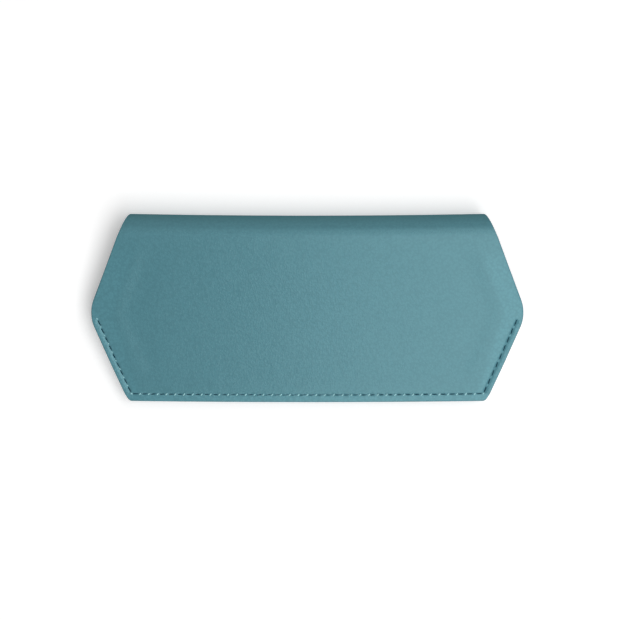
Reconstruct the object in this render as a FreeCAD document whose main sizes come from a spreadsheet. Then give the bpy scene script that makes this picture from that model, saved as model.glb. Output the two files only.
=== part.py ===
import FreeCAD, Part

import math
import os

import Sketcher
from FreeCAD import Vector

# Soft leather eyeglasses case, closed: a hexagonal back lies on the table, a
# flap of the same outline turns over it at a rolled fold, and the flap's lower
# half comes down on a raised pocket.  Millimetres, +Z up, +Y towards the fold.

os.makedirs("parts", exist_ok=True)
doc = FreeCAD.newDocument("eyeglasses_case")

# ---------------------------------------------------------------- sizes

SIZES = {
    "vertex_half": 87.7,       # outline, half width at the side vertices
    "vertex_y": -2.35,
    "foot_half": 72.2,         # outline, half width at the bottom edge
    "foot_y": -37.95,
    "fold_half": 75.5,         # outline, half width where the fold begins
    "fold_y": 29.45,
    "fold_out": 8.5,           # outside radius of the rolled fold
    "tilt": 7.5,               # slope of the closed flap, degrees
    "vertex_round": 14.5,
    "foot_round": 2.0,
    "corner_rise": 3.0,        # oblique cut at the bottom corners, up the side
    "corner_run": 1.1,         # and along the bottom edge
    "leather": 1.2,
    "lining": 0.4,
    "board": 1.0,
    "facing": 0.7,
    "pocket_leather": 0.9,
    "skive": 0.5,              # how far the flap's margin is thinned
    "margin_side": 9.5,        # edge of a board from the outline
    "margin_foot": 7.0,
    "margin_fold": 6.0,
    "seam_flat": 4.0,          # flat seam allowance inside the outline
    "mouth_y": 1.25,           # pocket mouth
    "mouth_side": 14.0,        # raised part of the pocket from the outline
    "mouth_lift": 6.2,         # hollow under the pocket at its mouth
    "foot_lift": 1.3,          # hollow under the pocket at its foot
    "facing_y": -3.25,         # upper edge of the flap's facing
    "stitch_inset": 3.0,
    "stitch_top_y": -4.3,
    "stitch_gap": 0.5,         # between two stitches
    "side_stitches": 9,
    "foot_stitches": 38,
    "thread": 0.6,
    "core": 0.15,              # strand that joins a seam's stitches
    "groove": 0.3,
    "middle_span": 28.0,       # part of the fold that stays curved, degrees
    "magnet_round": 5.0,
    "magnet_x": 30.0,
    "magnet_y": -8.75,
    "board_gap": 0.6,
    "magnet_play": 0.05,
}

sheet = doc.addObject("Spreadsheet::Sheet", "Sizes")
for row, (alias, value) in enumerate(SIZES.items(), start=1):
    sheet.set(f"A{row}", alias.replace("_", " "))
    sheet.set(f"B{row}", str(value))
    sheet.setAlias(f"B{row}", alias)
doc.recompute()


def size(name):
    """Expression for one cell of the sheet."""
    return f"Sizes.{name}"


def number(expression):
    """Present value of an expression."""
    return float(sheet.evalExpression(str(expression)))


# Ends of the rolled fold on the flap's side, where the flap's own frame sits:
# its x runs along the fold, its y up the flap, its z out of the flap's face.
FLAP_Y = "(Sizes.fold_y - Sizes.fold_out * sin(Sizes.tilt))"
FLAP_Z = "(Sizes.fold_out + Sizes.fold_out * cos(Sizes.tilt))"
UPPER_SLANT = ("((Sizes.vertex_half - Sizes.fold_half)"
               " / (Sizes.fold_y - Sizes.vertex_y))")
LOWER_SLANT = ("((Sizes.vertex_half - Sizes.foot_half)"
               " / (Sizes.vertex_y - Sizes.foot_y))")
POCKET_TOP_Y = "(Sizes.foot_y + Sizes.margin_foot)"
POCKET_SLOPE = ("((Sizes.mouth_lift - Sizes.foot_lift)"
                f" / (Sizes.mouth_y - {POCKET_TOP_Y}))")
SEAM_Z = "(Sizes.leather + Sizes.lining)"


def upper_half(y):
    """Half width of the outline at a height above the vertices."""
    return f"(Sizes.vertex_half - {UPPER_SLANT} * (({y}) - Sizes.vertex_y))"


def lower_half(y):
    """Half width of the outline at a height below the vertices."""
    return f"(Sizes.vertex_half - {LOWER_SLANT} * (Sizes.vertex_y - ({y})))"


def on_flap(y):
    """Distance along the flap's own y of a height in the case's frame."""
    return f"((({y}) - {FLAP_Y}) / cos(Sizes.tilt))"


# ---------------------------------------------------------------- outlines

def flat(y):
    """A height left in the case's frame."""
    return f"({y})"


def on_pocket(y):
    """Distance along the leaning pocket's own y of a height."""
    return f"(({y}) / cos(atan({POCKET_SLOPE})))"


def hexagon(place, top_y, inset="0", foot="0", vertex="Sizes.vertex_round",
            corner="0", shoulder_y=None, top_inset=None, foot_inset=None):
    """Whole ring of corners (x, y, radius) of the outline, or one inside it.

    `inset` moves the slanting sides in and `foot` the bottom edge up.  A
    shoulder is an extra corner on the upper side, and the top and bottom
    corners may have insets of their own.  With a `corner` radius the bottom
    corners are cut obliquely and rounded.
    """
    foot_y = f"(Sizes.foot_y + {foot})"
    half = [(f"({upper_half(top_y)} - {top_inset or inset})", place(top_y), "0")]
    if shoulder_y:
        half.append((f"({upper_half(shoulder_y)} - {inset})", place(shoulder_y), "0"))
    half.append((f"(Sizes.vertex_half - {inset})", place("Sizes.vertex_y"), vertex))
    foot_half = f"({lower_half(foot_y)} - {foot_inset or inset})"
    if corner == "0":
        half.append((foot_half, place(foot_y), corner))
    else:
        cut_y = f"({foot_y} + Sizes.corner_rise)"
        half.append((f"({lower_half(cut_y)} - {inset})", place(cut_y), corner))
        half.append((f"({foot_half} - Sizes.corner_run)", place(foot_y), corner))
    return half + [(f"-{x}", y, radius) for x, y, radius in reversed(half)]


# ---------------------------------------------------------------- sketches

def origin_plane(body, role):
    """The body's own origin plane of that role."""
    return [f for f in body.Origin.OriginFeatures if f.Role == role][0]


def new_body(name):
    """An empty body with its label."""
    body = doc.addObject("PartDesign::Body", name)
    body.Label = name
    return body


def new_sketch(body, name, role="XY_Plane", height=None, slope=None):
    """A sketch on an origin plane, lifted and leaned by expressions."""
    sketch = body.newObject("Sketcher::SketchObject", name)
    sketch.AttachmentSupport = [(origin_plane(body, role), "")]
    sketch.MapMode = "FlatFace"
    if slope is not None:
        sketch.AttachmentOffset = FreeCAD.Placement(
            Vector(), FreeCAD.Rotation(Vector(1, 0, 0), number(slope)))
        sketch.setExpression(".AttachmentOffset.Rotation.Angle", slope)
    if height is not None:
        sketch.setExpression(".AttachmentOffset.Base.z", height)
    return sketch


def pin(sketch, geometry, point, x, y):
    """Hold a point of the sketch at two expressions."""
    for kind, expression in (("DistanceX", x), ("DistanceY", y)):
        index = sketch.addConstraint(Sketcher.Constraint(
            kind, -1, 1, geometry, point, number(expression)))
        sketch.setExpression(f"Constraints[{index}]", expression)


def tangent_ends(before, corner, after, radius):
    """Start, middle and end of the arc that rounds a corner."""
    back = (before - corner).normalize()
    ahead = (after - corner).normalize()
    half_angle = back.getAngle(ahead) / 2
    inward = (back + ahead).normalize()
    reach = radius / math.tan(half_angle)
    middle = inward * (radius / math.sin(half_angle) - radius)
    return corner + back * reach, corner + middle, corner + ahead * reach


def draw_ring(sketch, ring):
    """Closed ring of lines through convex corners, rounded where asked."""
    corners = list(reversed(ring))
    count = len(corners)
    points = [Vector(number(x), number(y), 0) for x, y, _ in corners]
    rounds = [number(radius) for _, _, radius in corners]
    starts, ends, arcs = [], [], []
    for i in range(count):
        arc = None
        if rounds[i] > 0:
            arc = tangent_ends(points[i - 1], points[i], points[(i + 1) % count],
                               rounds[i])
        arcs.append(arc)
        starts.append(arc[2] if arc else points[i])
        ends.append(arc[0] if arc else points[i])
    lines = [sketch.addGeometry(Part.LineSegment(starts[i], ends[(i + 1) % count]))
             for i in range(count)]
    for i, (x, y, radius) in enumerate(corners):
        if arcs[i] is None:
            sketch.addConstraint(Sketcher.Constraint(
                "Coincident", lines[i - 1], 2, lines[i], 1))
            pin(sketch, lines[i], 1, x, y)
        else:
            round_corner(sketch, arcs[i], lines[i - 1], lines[i], points[i],
                         (x, y, radius))


def round_corner(sketch, arc, line_in, line_out, corner, expressions):
    """Tangent arc between two lines whose sharp corner stays pinned."""
    x, y, radius = expressions
    curve = sketch.addGeometry(Part.Arc(*arc))
    point = sketch.addGeometry(Part.Point(corner))
    sketch.toggleConstruction(point)
    sketch.addConstraint(Sketcher.Constraint("Tangent", line_in, 2, curve, 1))
    sketch.addConstraint(Sketcher.Constraint("Tangent", curve, 2, line_out, 1))
    sketch.addConstraint(Sketcher.Constraint("PointOnObject", point, 1, line_in))
    sketch.addConstraint(Sketcher.Constraint("PointOnObject", point, 1, line_out))
    index = sketch.addConstraint(Sketcher.Constraint("Radius", curve, number(radius)))
    sketch.setExpression(f"Constraints[{index}]", radius)
    pin(sketch, point, 1, x, y)


def draw_circles(sketch, xs, y, radius):
    """Circles of one radius at one height."""
    for x in xs:
        curve = sketch.addGeometry(Part.Circle(
            Vector(number(x), number(y), 0), Vector(0, 0, 1), number(radius)))
        index = sketch.addConstraint(Sketcher.Constraint("Radius", curve, number(radius)))
        sketch.setExpression(f"Constraints[{index}]", radius)
        pin(sketch, curve, 3, x, y)


# ---------------------------------------------------------------- features

def ring_sketch(body, name, ring, height=None, slope=None):
    """A sketch of one ring."""
    sketch = new_sketch(body, name, height=height, slope=slope)
    draw_ring(sketch, ring)
    return sketch


def pad(body, name, sketch, length, downward=False):
    """Pad a sketch up (or down) by an expression."""
    feature = body.newObject("PartDesign::Pad", name)
    feature.Profile = sketch
    feature.Reversed = downward
    feature.setExpression("Length", length)
    return feature


def pocket(body, name, sketch, length=None, upward=False):
    """Pocket a sketch down (or up), through everything without a length."""
    feature = body.newObject("PartDesign::Pocket", name)
    feature.Profile = sketch
    feature.Reversed = upward
    if length is None:
        feature.Type = "ThroughAll"
    else:
        feature.setExpression("Length", length)
    return feature


def loft(body, kind, name, lower, upper):
    """Ruled loft between two sketches of the same ring."""
    feature = body.newObject(f"PartDesign::{kind}Loft", name)
    feature.Profile = lower
    feature.Sections = [upper]
    feature.Ruled = True
    return feature


def raised_sheet(name, outer, base, top, bottom_z, rise, thickness, slope=None):
    """Sheet whose middle stands off its flat rim by a rise.

    Above the rim the sheet climbs from the ring `base` to the ring `top`; the
    same loft taken out below leaves one thickness.  A negative rise sinks the
    middle instead.  With a slope the ring `top` lies in a leaning plane, and
    the rise is that plane's height at y = 0.
    """
    body = new_body(name)
    pad(body, f"{name}_rim", ring_sketch(body, f"{name}_rim_ring", outer, bottom_z),
        thickness)
    rim_top = f"({bottom_z} + {thickness})"
    faces = {"Additive": rim_top, "Subtractive": bottom_z}
    if number(rise) < 0:
        faces = {"Additive": bottom_z, "Subtractive": rim_top}
    for kind, height in faces.items():
        lower = ring_sketch(body, f"{name}_{kind}_base", base, height)
        upper = ring_sketch(body, f"{name}_{kind}_top", top, f"({height} + {rise})",
                            slope)
        loft(body, kind, f"{name}_{kind}_middle", lower, upper)
    return body


def cut_across(body, name, y_from, y_to, height):
    """Take everything between two heights off a sheet, through and through."""
    wide = f"(2 * {size('vertex_half')})"
    ring = [(wide, y_to, "0"), (wide, y_from, "0"),
            (f"-{wide}", y_from, "0"), (f"-{wide}", y_to, "0")]
    feature = pocket(body, name, ring_sketch(body, f"{name}_ring", ring, height))
    feature.Midplane = True
    return feature


def lean_on_flap(obj, y="0", z="0"):
    """Put an object in the flap's frame, at a point (0, y, z) of that frame."""
    tilt = size("tilt")
    base_y = f"{FLAP_Y} + {y} * cos({tilt}) - {z} * sin({tilt})"
    base_z = f"{FLAP_Z} + {y} * sin({tilt}) + {z} * cos({tilt})"
    lean(obj, base_y, base_z, tilt)


def lean(obj, base_y, base_z, angle):
    """Bind an object's place and its turn about X to expressions."""
    obj.Placement = FreeCAD.Placement(
        Vector(obj.Placement.Base.x, number(base_y), number(base_z)),
        FreeCAD.Rotation(Vector(1, 0, 0), number(angle)))
    obj.setExpression(".Placement.Base.y", base_y)
    obj.setExpression(".Placement.Base.z", base_z)
    obj.setExpression(".Placement.Rotation.Angle", angle)


# ---------------------------------------------------------------- seams

SEAM_FOOT_Y = "(Sizes.foot_y + Sizes.stitch_inset)"
SIDE_PITCH = f"((Sizes.stitch_top_y - {SEAM_FOOT_Y}) / Sizes.side_stitches)"


def seam_point(place, y, offset):
    """Point (x, y) of a seam's slanting leg, at an offset from its line."""
    inset = f"((Sizes.stitch_inset - {offset}) / cos(atan({LOWER_SLANT})))"
    return f"({lower_half(y)} - {inset})", place(y)


def stitch_side(place, offset):
    """Two corners (x, y) of the thread's strip at an offset from its line."""
    foot_y = f"({SEAM_FOOT_Y} - {offset})"
    return [seam_point(place, y, offset) for y in (size("stitch_top_y"), foot_y)]


def side_stitch(place, sign):
    """Corners of the first stitch of a slanting leg, and the leg's length."""
    top = f"(Sizes.stitch_top_y - {size('stitch_gap')} / 2)"
    bottom = f"({top} - {SIDE_PITCH} + {size('stitch_gap')})"
    half = f"({size('thread')} / 2)"
    corners = [seam_point(place, top, half), seam_point(place, bottom, half),
               seam_point(place, bottom, f"(-{half})"), seam_point(place, top, f"(-{half})")]
    start, end = [seam_point(place, y, "0") for y in (size("stitch_top_y"), SEAM_FOOT_Y)]
    length = f"hypot({start[0]} - {end[0]}; {start[1]} - {end[1]})"
    return [(f"{sign}{x}", y) for x, y in corners], length


def foot_stitch(place):
    """Corners of the first stitch of the bottom leg, and the leg's length."""
    half_leg = seam_point(place, SEAM_FOOT_Y, "0")[0]
    length = f"(2 * {half_leg})"
    half = f"({size('thread')} / 2)"
    start = f"({half_leg} - {size('stitch_gap')} / 2)"
    end = f"({half_leg} - {length} / Sizes.foot_stitches + {size('stitch_gap')} / 2)"
    low, high = [place(f"({SEAM_FOOT_Y} {side} {half})") for side in ("-", "+")]
    return [(start, low), (end, low), (end, high), (start, high)], length


def stitch_leg(body, name, corners, length, count, bottom_z):
    """A row of equal stitches along the first side of one stitch's outline."""
    sketch = new_sketch(body, f"{name}_outline", height=bottom_z)
    draw_path(sketch, corners)
    stitch = pad(body, name, sketch, size("groove"))
    row = body.newObject("PartDesign::LinearPattern", f"{name}_row")
    row.Originals = [stitch]
    row.Direction = (sketch, ["Edge1"])
    row.setExpression("Occurrences", count)
    row.setExpression("Length", f"({length}) * (1 - 1 / {count})")
    body.Tip = row


def draw_path(sketch, corners):
    """Closed ring of straight lines through corners (x, y) of any turn."""
    points = [Vector(number(x), number(y), 0) for x, y in corners]
    count = len(points)
    lines = [sketch.addGeometry(Part.LineSegment(points[i], points[(i + 1) % count]))
             for i in range(count)]
    for i, (x, y) in enumerate(corners):
        sketch.addConstraint(Sketcher.Constraint(
            "Coincident", lines[i - 1], 2, lines[i], 1))
        pin(sketch, lines[i], 1, x, y)


def stitch_sketch(body, name, place, width, height):
    """Sketch of the strip a seam's thread lies in, down, across and up."""
    outer = stitch_side(place, f"({width} / 2)")
    inner = stitch_side(place, f"(-{width} / 2)")
    across_outer = outer + [(f"-{x}", y) for x, y in reversed(outer)]
    across_inner = [(f"-{x}", y) for x, y in inner] + list(reversed(inner))
    sketch = new_sketch(body, name, height=height)
    draw_path(sketch, across_outer + across_inner)
    return sketch


def groove(body, name, place, level, depth, upward=False):
    """Groove for a seam's thread, cut down (or up) from a level."""
    room = f"({size('thread')} + 0.2)"
    sketch = stitch_sketch(body, f"{name}_ring", place, room, level)
    return pocket(body, name, sketch, depth, upward)


def thread(name, place, bottom_z, core_z):
    """Thread of one seam: three legs of stitches, joined by a thin core."""
    body = new_body(name)
    core = stitch_sketch(body, f"{name}_ring", place, f"({size('thread')} / 2)", core_z)
    pad(body, f"{name}_core", core, size("core"))
    for side, sign in (("right", ""), ("left", "-")):
        corners, length = side_stitch(place, sign)
        stitch_leg(body, f"{name}_{side}", corners, length, size("side_stitches"), bottom_z)
    corners, length = foot_stitch(place)
    stitch_leg(body, f"{name}_foot", corners, length, size("foot_stitches"), bottom_z)
    return body


# ---------------------------------------------------------------- back

BACK_TOP_Y = f"({size('fold_y')} - {size('margin_fold')})"
CREST_Y = f"({size('fold_y')} - {size('margin_fold')} / 3)"
INNER_ROUND = "(Sizes.vertex_round - Sizes.margin_side)"
BASE_ROUND = "(Sizes.vertex_round - Sizes.seam_flat)"


def board_ring(place, top_y):
    """Ring of a stiffening board."""
    return hexagon(place, top_y, size("margin_side"), size("margin_foot"), INNER_ROUND)


def base_ring(place, top_y):
    """Ring where the flat seam allowance ends."""
    return hexagon(place, top_y, size("seam_flat"), size("seam_flat"), BASE_ROUND)


def back_leather():
    """Outer leather of the back, flat on the table."""
    body = new_body("back_leather")
    ring = hexagon(flat, size("fold_y"), corner=size("foot_round"))
    pad(body, "back_hide", ring_sketch(body, "back_outline", ring), size("leather"))
    groove(body, "back_groove", flat, "0", size("groove"), upward=True)


def back_board():
    """Stiffening board of the back."""
    body = new_body("back_board")
    ring = ring_sketch(body, "back_board_ring", board_ring(flat, BACK_TOP_Y),
                       size("leather"))
    pad(body, "back_board_plate", ring, size("board"))


def back_lining():
    """Lining of the back, raised over its board."""
    outer = hexagon(flat, size("fold_y"), corner=size("foot_round"))
    raised_sheet("back_lining", outer, base_ring(flat, CREST_Y),
                 board_ring(flat, BACK_TOP_Y), size("leather"), size("board"),
                 size("lining"))


# ---------------------------------------------------------------- pocket

POCKET_ANGLE = f"atan({POCKET_SLOPE})"
POCKET_RISE = f"(Sizes.mouth_lift - {POCKET_SLOPE} * Sizes.mouth_y)"
POCKET_LEATHER_Z = f"({SEAM_Z} + Sizes.lining)"
BOARD_LIFT = f"(Sizes.board / cos({POCKET_ANGLE}))"


def pocket_base_ring():
    """Ring where the pocket leaves its flat seam allowance."""
    return hexagon(flat, size("mouth_y"), size("seam_flat"), size("seam_flat"), vertex="0")


def pocket_top_ring(extra="0"):
    """Ring of the pocket's leaning face, or one an extra width inside it."""
    return hexagon(on_pocket, size("mouth_y"), f"({size('mouth_side')} + {extra})",
                   f"({size('margin_foot')} + {extra})", vertex="0",
                   foot_inset=f"({size('margin_side')} + {extra})")


def pocket_sheet(name, bottom_z, thickness, rise):
    """One layer of the pocket, sewn down flat and raised to its mouth."""
    outer = hexagon(flat, size("fold_y"), corner=size("foot_round"))
    body = raised_sheet(name, outer, pocket_base_ring(), pocket_top_ring(), bottom_z, rise,
                        thickness, POCKET_ANGLE)
    cut_across(body, f"{name}_mouth", size("mouth_y"), "(2 * Sizes.fold_y)", "0")
    return body


def pocket_lining():
    """Lining of the pocket."""
    pocket_sheet("pocket_lining", SEAM_Z, size("lining"), POCKET_RISE)


def pocket_leather():
    """Leather of the pocket, over its board."""
    body = pocket_sheet("pocket_leather", POCKET_LEATHER_Z, size("pocket_leather"),
                        f"({POCKET_RISE} + {BOARD_LIFT})")
    level = f"({POCKET_LEATHER_Z} + {size('pocket_leather')})"
    groove(body, "pocket_groove", flat, level, size("groove"))


def pocket_board():
    """Stiffening board of the pocket, with a hole for each magnet."""
    body = new_body("pocket_board")
    level = f"({POCKET_LEATHER_Z} + {POCKET_RISE})"
    ring = ring_sketch(body, "pocket_board_ring", pocket_top_ring(size("board_gap")),
                       level, POCKET_ANGLE)
    pad(body, "pocket_board_plate", ring, size("board"))
    magnet_holes(body, on_pocket(size("magnet_y")), level, POCKET_ANGLE)


def magnet_holes(body, y, level, slope=None):
    """Two holes for magnets up through a board."""
    sketch = new_sketch(body, f"{body.Name}_holes", height=level, slope=slope)
    radius = f"({size('magnet_round')} + {size('magnet_play')})"
    draw_circles(sketch, (size("magnet_x"), f"-{size('magnet_x')}"), y, radius)
    pocket(body, f"{body.Name}_magnet_holes", sketch, upward=True)


def magnet(name, side):
    """Disc magnet as thick as the board around it."""
    disc = doc.addObject("Part::Cylinder", name)
    disc.Label = name
    disc.Placement.Base.x = side * SIZES["magnet_x"]
    disc.setExpression(".Placement.Base.x", f"{side} * {size('magnet_x')}")
    disc.setExpression("Radius", size("magnet_round"))
    disc.setExpression("Height", size("board"))
    return disc


def pocket_magnets():
    """Two magnets in the pocket's board."""
    level = f"({POCKET_LEATHER_Z} + {POCKET_RISE})"
    base_z = f"({level} + {size('magnet_y')} * {POCKET_SLOPE})"
    for name, side in (("pocket_magnet_left", -1), ("pocket_magnet_right", 1)):
        lean(magnet(name, side), size("magnet_y"), base_z, POCKET_ANGLE)


# ---------------------------------------------------------------- fold

def fold_point(radius, angle):
    """Point of the fold's cross-section, at an angle from its lowest line."""
    return (f"({size('fold_y')} + {radius} * sin({angle}))",
            f"({size('fold_out')} - {radius} * cos({angle}))")


def fold_arc(sketch, radius, start, end):
    """Arc of the fold's cross-section, bound to the fold's centre."""
    middle = f"(({start} + {end}) / 2)"
    ends = [fold_point(radius, angle) for angle in (start, middle, end)]
    arc = sketch.addGeometry(Part.Arc(*[Vector(number(y), number(z), 0)
                                        for y, z in ends]))
    pin(sketch, arc, 3, size("fold_y"), size("fold_out"))
    for point, angle, place in ((1, start, ends[0]), (2, end, ends[2])):
        across = abs(math.cos(math.radians(number(angle)))) > 0.7
        kind, value = ("DistanceX", place[0]) if across else ("DistanceY", place[1])
        index = sketch.addConstraint(Sketcher.Constraint(
            kind, -1, 1, arc, point, number(value)))
        sketch.setExpression(f"Constraints[{index}]", value)
    index = sketch.addConstraint(Sketcher.Constraint("Radius", arc, number(radius)))
    sketch.setExpression(f"Constraints[{index}]", radius)
    return arc


def fold_strip(name, outside, inside, start, end):
    """One strip of the rolled fold, cut to the slanting sides."""
    body = new_body(name)
    sketch = new_sketch(body, f"{name}_section", "YZ_Plane")
    arcs = [fold_arc(sketch, radius, start, end) for radius in (outside, inside)]
    for point, angle in ((1, start), (2, end)):
        ends = [fold_point(radius, angle) for radius in (outside, inside)]
        line = sketch.addGeometry(Part.LineSegment(
            *[Vector(number(y), number(z), 0) for y, z in ends]))
        for line_end, arc in ((1, arcs[0]), (2, arcs[1])):
            sketch.addConstraint(Sketcher.Constraint(
                "Coincident", line, line_end, arc, point))
    strip = pad(body, f"{name}_roll", sketch, f"(2 * {size('vertex_half')})")
    strip.Midplane = True
    trim_sides(body, name)


def trim_sides(body, name):
    """Cut a strip of the fold along the outline's upper sides."""
    sketch = new_sketch(body, f"{name}_sides", height="0")
    low = f"({size('fold_y')} - {size('fold_out')})"
    high = f"({size('fold_y')} + 2 * {size('fold_out')})"
    wide = f"(2 * {size('vertex_half')})"
    for sign in ("", "-"):
        draw_path(sketch, [(f"{sign}{upper_half(low)}", low),
                           (f"{sign}{wide}", low),
                           (f"{sign}{wide}", high),
                           (f"{sign}{upper_half(high)}", high)])
    cut = pocket(body, f"{name}_trim", sketch)
    cut.Midplane = True


def fold():
    """Leather and lining of the fold, each in three strips."""
    total = f"(180 + {size('tilt')})"
    low = f"({total} / 2 - {size('middle_span')} / 2)"
    high = f"({total} / 2 + {size('middle_span')} / 2)"
    spans = {"lower": ("0", low), "middle": (low, high), "upper": (high, total)}
    under = f"({size('fold_out')} - {size('leather')})"
    inside = f"({under} - {size('lining')})"
    for part_name, (start, end) in spans.items():
        fold_strip(f"fold_leather_{part_name}", size("fold_out"), under, start, end)
        fold_strip(f"fold_lining_{part_name}", under, inside, start, end)


# ---------------------------------------------------------------- flap

FLAP_TOP_Y = f"({FLAP_Y} - {size('margin_fold')})"
FLAP_CREST_Y = f"({FLAP_Y} - {size('margin_fold')} / 3)"
UNDER_LEATHER = f"(-{size('leather')})"
THREAD_DROP = f"({size('skive')} / 2)"


def flap_leather():
    """Outer leather of the flap, thinned towards its free edges."""
    body = new_body("flap_leather")
    outer = hexagon(on_flap, FLAP_Y, corner=size("foot_round"), shoulder_y=FLAP_TOP_Y)
    inner = hexagon(on_flap, FLAP_Y, size("margin_side"), size("margin_foot"),
                    INNER_ROUND, corner="(Sizes.foot_round / 2)",
                    shoulder_y=FLAP_TOP_Y, top_inset="0")
    rim = f"({size('leather')} - {size('skive')})"
    rim_z = f"(-{size('skive')})"
    pad(body, "flap_hide", ring_sketch(body, "flap_outline", outer, UNDER_LEATHER), rim)
    loft(body, "Additive", "flap_skive", ring_sketch(body, "flap_rim", outer, rim_z),
         ring_sketch(body, "flap_face", inner, "0"))
    groove(body, "flap_groove", on_flap, "0", f"({THREAD_DROP} + {size('groove')})")
    lean_on_flap(body)


def flap_board():
    """Stiffening board of the flap, with a hole for each magnet."""
    body = new_body("flap_board")
    level = f"({UNDER_LEATHER} - {size('board')})"
    ring = ring_sketch(body, "flap_board_ring", board_ring(on_flap, FLAP_TOP_Y), level)
    pad(body, "flap_board_plate", ring, size("board"))
    magnet_holes(body, on_flap(size("magnet_y")), level)
    lean_on_flap(body)


def flap_magnets():
    """Two magnets in the flap's board."""
    level = f"({UNDER_LEATHER} - {size('board')})"
    for name, side in (("flap_magnet_left", -1), ("flap_magnet_right", 1)):
        lean_on_flap(magnet(name, side), on_flap(size("magnet_y")), level)


def flap_sheet(name, thickness):
    """One layer under the flap's leather, sunk below its board."""
    outer = hexagon(on_flap, FLAP_Y, corner=size("foot_round"))
    return raised_sheet(name, outer, base_ring(on_flap, FLAP_CREST_Y),
                        board_ring(on_flap, FLAP_TOP_Y),
                        f"({UNDER_LEATHER} - {thickness})", f"(-{size('board')})",
                        thickness)


def flap_lining():
    """Lining of the flap, from the fold to the facing."""
    body = flap_sheet("flap_lining", size("lining"))
    cut_across(body, "lining_end", on_flap("(2 * Sizes.foot_y)"),
               on_flap(size("facing_y")), UNDER_LEATHER)
    lean_on_flap(body)


def flap_facing():
    """Facing sewn under the flap's lower half."""
    body = flap_sheet("flap_facing", size("facing"))
    cut_across(body, "facing_end", on_flap(size("facing_y")),
               on_flap("(2 * Sizes.fold_y)"), UNDER_LEATHER)
    surface = f"({UNDER_LEATHER} - {size('facing')})"
    groove(body, "facing_groove", on_flap, surface, size("groove"), upward=True)
    lean_on_flap(body)


def seam_threads():
    """Needle and bobbin threads of the two seams."""
    inner = f"({size('groove')} - {size('core')})"
    thread("back_bobbin_thread", flat, "0", inner)
    level = f"({POCKET_LEATHER_Z} + {size('pocket_leather')} - {size('groove')})"
    thread("pocket_needle_thread", flat, level, level)
    flap_level = f"(-{THREAD_DROP} - {size('groove')})"
    lean_on_flap(thread("flap_needle_thread", on_flap, flap_level, flap_level))
    facing_level = f"({UNDER_LEATHER} - {size('facing')})"
    lean_on_flap(thread("flap_bobbin_thread", on_flap, facing_level,
                        f"({facing_level} + {inner})"))


# ---------------------------------------------------------------- build

def build():
    """Model every piece of the case."""
    back_leather()
    back_board()
    back_lining()
    pocket_lining()
    pocket_board()
    pocket_magnets()
    pocket_leather()
    fold()
    flap_leather()
    flap_board()
    flap_magnets()
    flap_lining()
    flap_facing()
    seam_threads()


def pieces():
    """Every object that is a piece of its own."""
    return [obj for obj in doc.Objects
            if obj.TypeId in ("PartDesign::Body", "Part::Cylinder")]


def check():
    """Stop on a feature that failed or a piece that is no sound solid."""
    for obj in doc.Objects:
        if {"Invalid", "Error"} & set(obj.State):
            raise RuntimeError(f"{obj.Name}: {obj.State}")
    for piece in pieces():
        shape = piece.Shape
        if shape.isNull() or not shape.isValid() or len(shape.Solids) != 1:
            raise RuntimeError(f"{piece.Label} is not one sound solid")


build()
doc.recompute()
check()
for piece in pieces():
    piece.Shape.exportStep(f"parts/{piece.Label}.step")
print(f"{len(pieces())} pieces")
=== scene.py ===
"""Soft leather eyeglasses case, closed: hide, linings, pocket, seams and light.

Everything is in metres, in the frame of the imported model: +X along the fold,
+Y from the stitched edge towards the fold, +Z up out of the flap.
"""

import logging
import math
from dataclasses import dataclass
from enum import Enum
from typing import Callable

import bmesh
import bpy
import numpy as np
from mathutils import Matrix, Vector


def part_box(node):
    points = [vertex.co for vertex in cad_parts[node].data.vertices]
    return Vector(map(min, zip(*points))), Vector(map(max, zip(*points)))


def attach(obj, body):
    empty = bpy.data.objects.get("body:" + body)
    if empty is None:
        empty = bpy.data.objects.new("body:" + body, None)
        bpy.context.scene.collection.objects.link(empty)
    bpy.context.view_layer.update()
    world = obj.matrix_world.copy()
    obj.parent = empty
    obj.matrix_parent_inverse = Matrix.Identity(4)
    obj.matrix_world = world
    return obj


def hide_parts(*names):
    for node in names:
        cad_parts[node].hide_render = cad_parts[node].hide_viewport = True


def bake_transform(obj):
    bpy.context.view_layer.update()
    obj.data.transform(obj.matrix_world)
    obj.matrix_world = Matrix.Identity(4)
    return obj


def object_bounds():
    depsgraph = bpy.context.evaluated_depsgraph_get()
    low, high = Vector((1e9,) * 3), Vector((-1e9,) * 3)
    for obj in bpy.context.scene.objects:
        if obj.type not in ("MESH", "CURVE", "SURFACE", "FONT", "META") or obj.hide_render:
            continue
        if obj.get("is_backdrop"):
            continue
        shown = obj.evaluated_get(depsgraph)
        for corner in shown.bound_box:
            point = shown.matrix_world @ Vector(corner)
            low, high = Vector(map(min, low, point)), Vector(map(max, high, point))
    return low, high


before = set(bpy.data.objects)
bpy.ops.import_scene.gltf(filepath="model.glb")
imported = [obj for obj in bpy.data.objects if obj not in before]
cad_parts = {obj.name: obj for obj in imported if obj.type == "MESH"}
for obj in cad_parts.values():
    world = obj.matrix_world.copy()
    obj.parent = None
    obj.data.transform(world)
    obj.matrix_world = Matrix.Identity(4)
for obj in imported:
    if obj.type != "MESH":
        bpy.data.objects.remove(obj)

log = logging.getLogger("eyeglasses_case")

MM = 0.001
UV_UNIT = 0.1
CUT_SHORT = 0.4 * MM
CLOTH_ROUND = 0.1 * MM
NOISE_CORE = (0.35, 0.65)
NOISE_SPAN = (0.3, 0.7)

Array = np.ndarray
Point = tuple[float, float, float]
Colour = tuple[float, float, float]
Range = tuple[float, float]
Piece = bpy.types.Object
Socket = bpy.types.NodeSocket
Sockets = bpy.types.bpy_prop_collection
Values = dict[str | int, object]
WHITE: Colour = (1.0, 1.0, 1.0)


@dataclass(frozen=True)
class Places:
    """Points of the case from above, with their distance from the free edges."""

    x: Array
    y: Array
    inset: Array


DepthField = Callable[[Places], Array]


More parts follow.
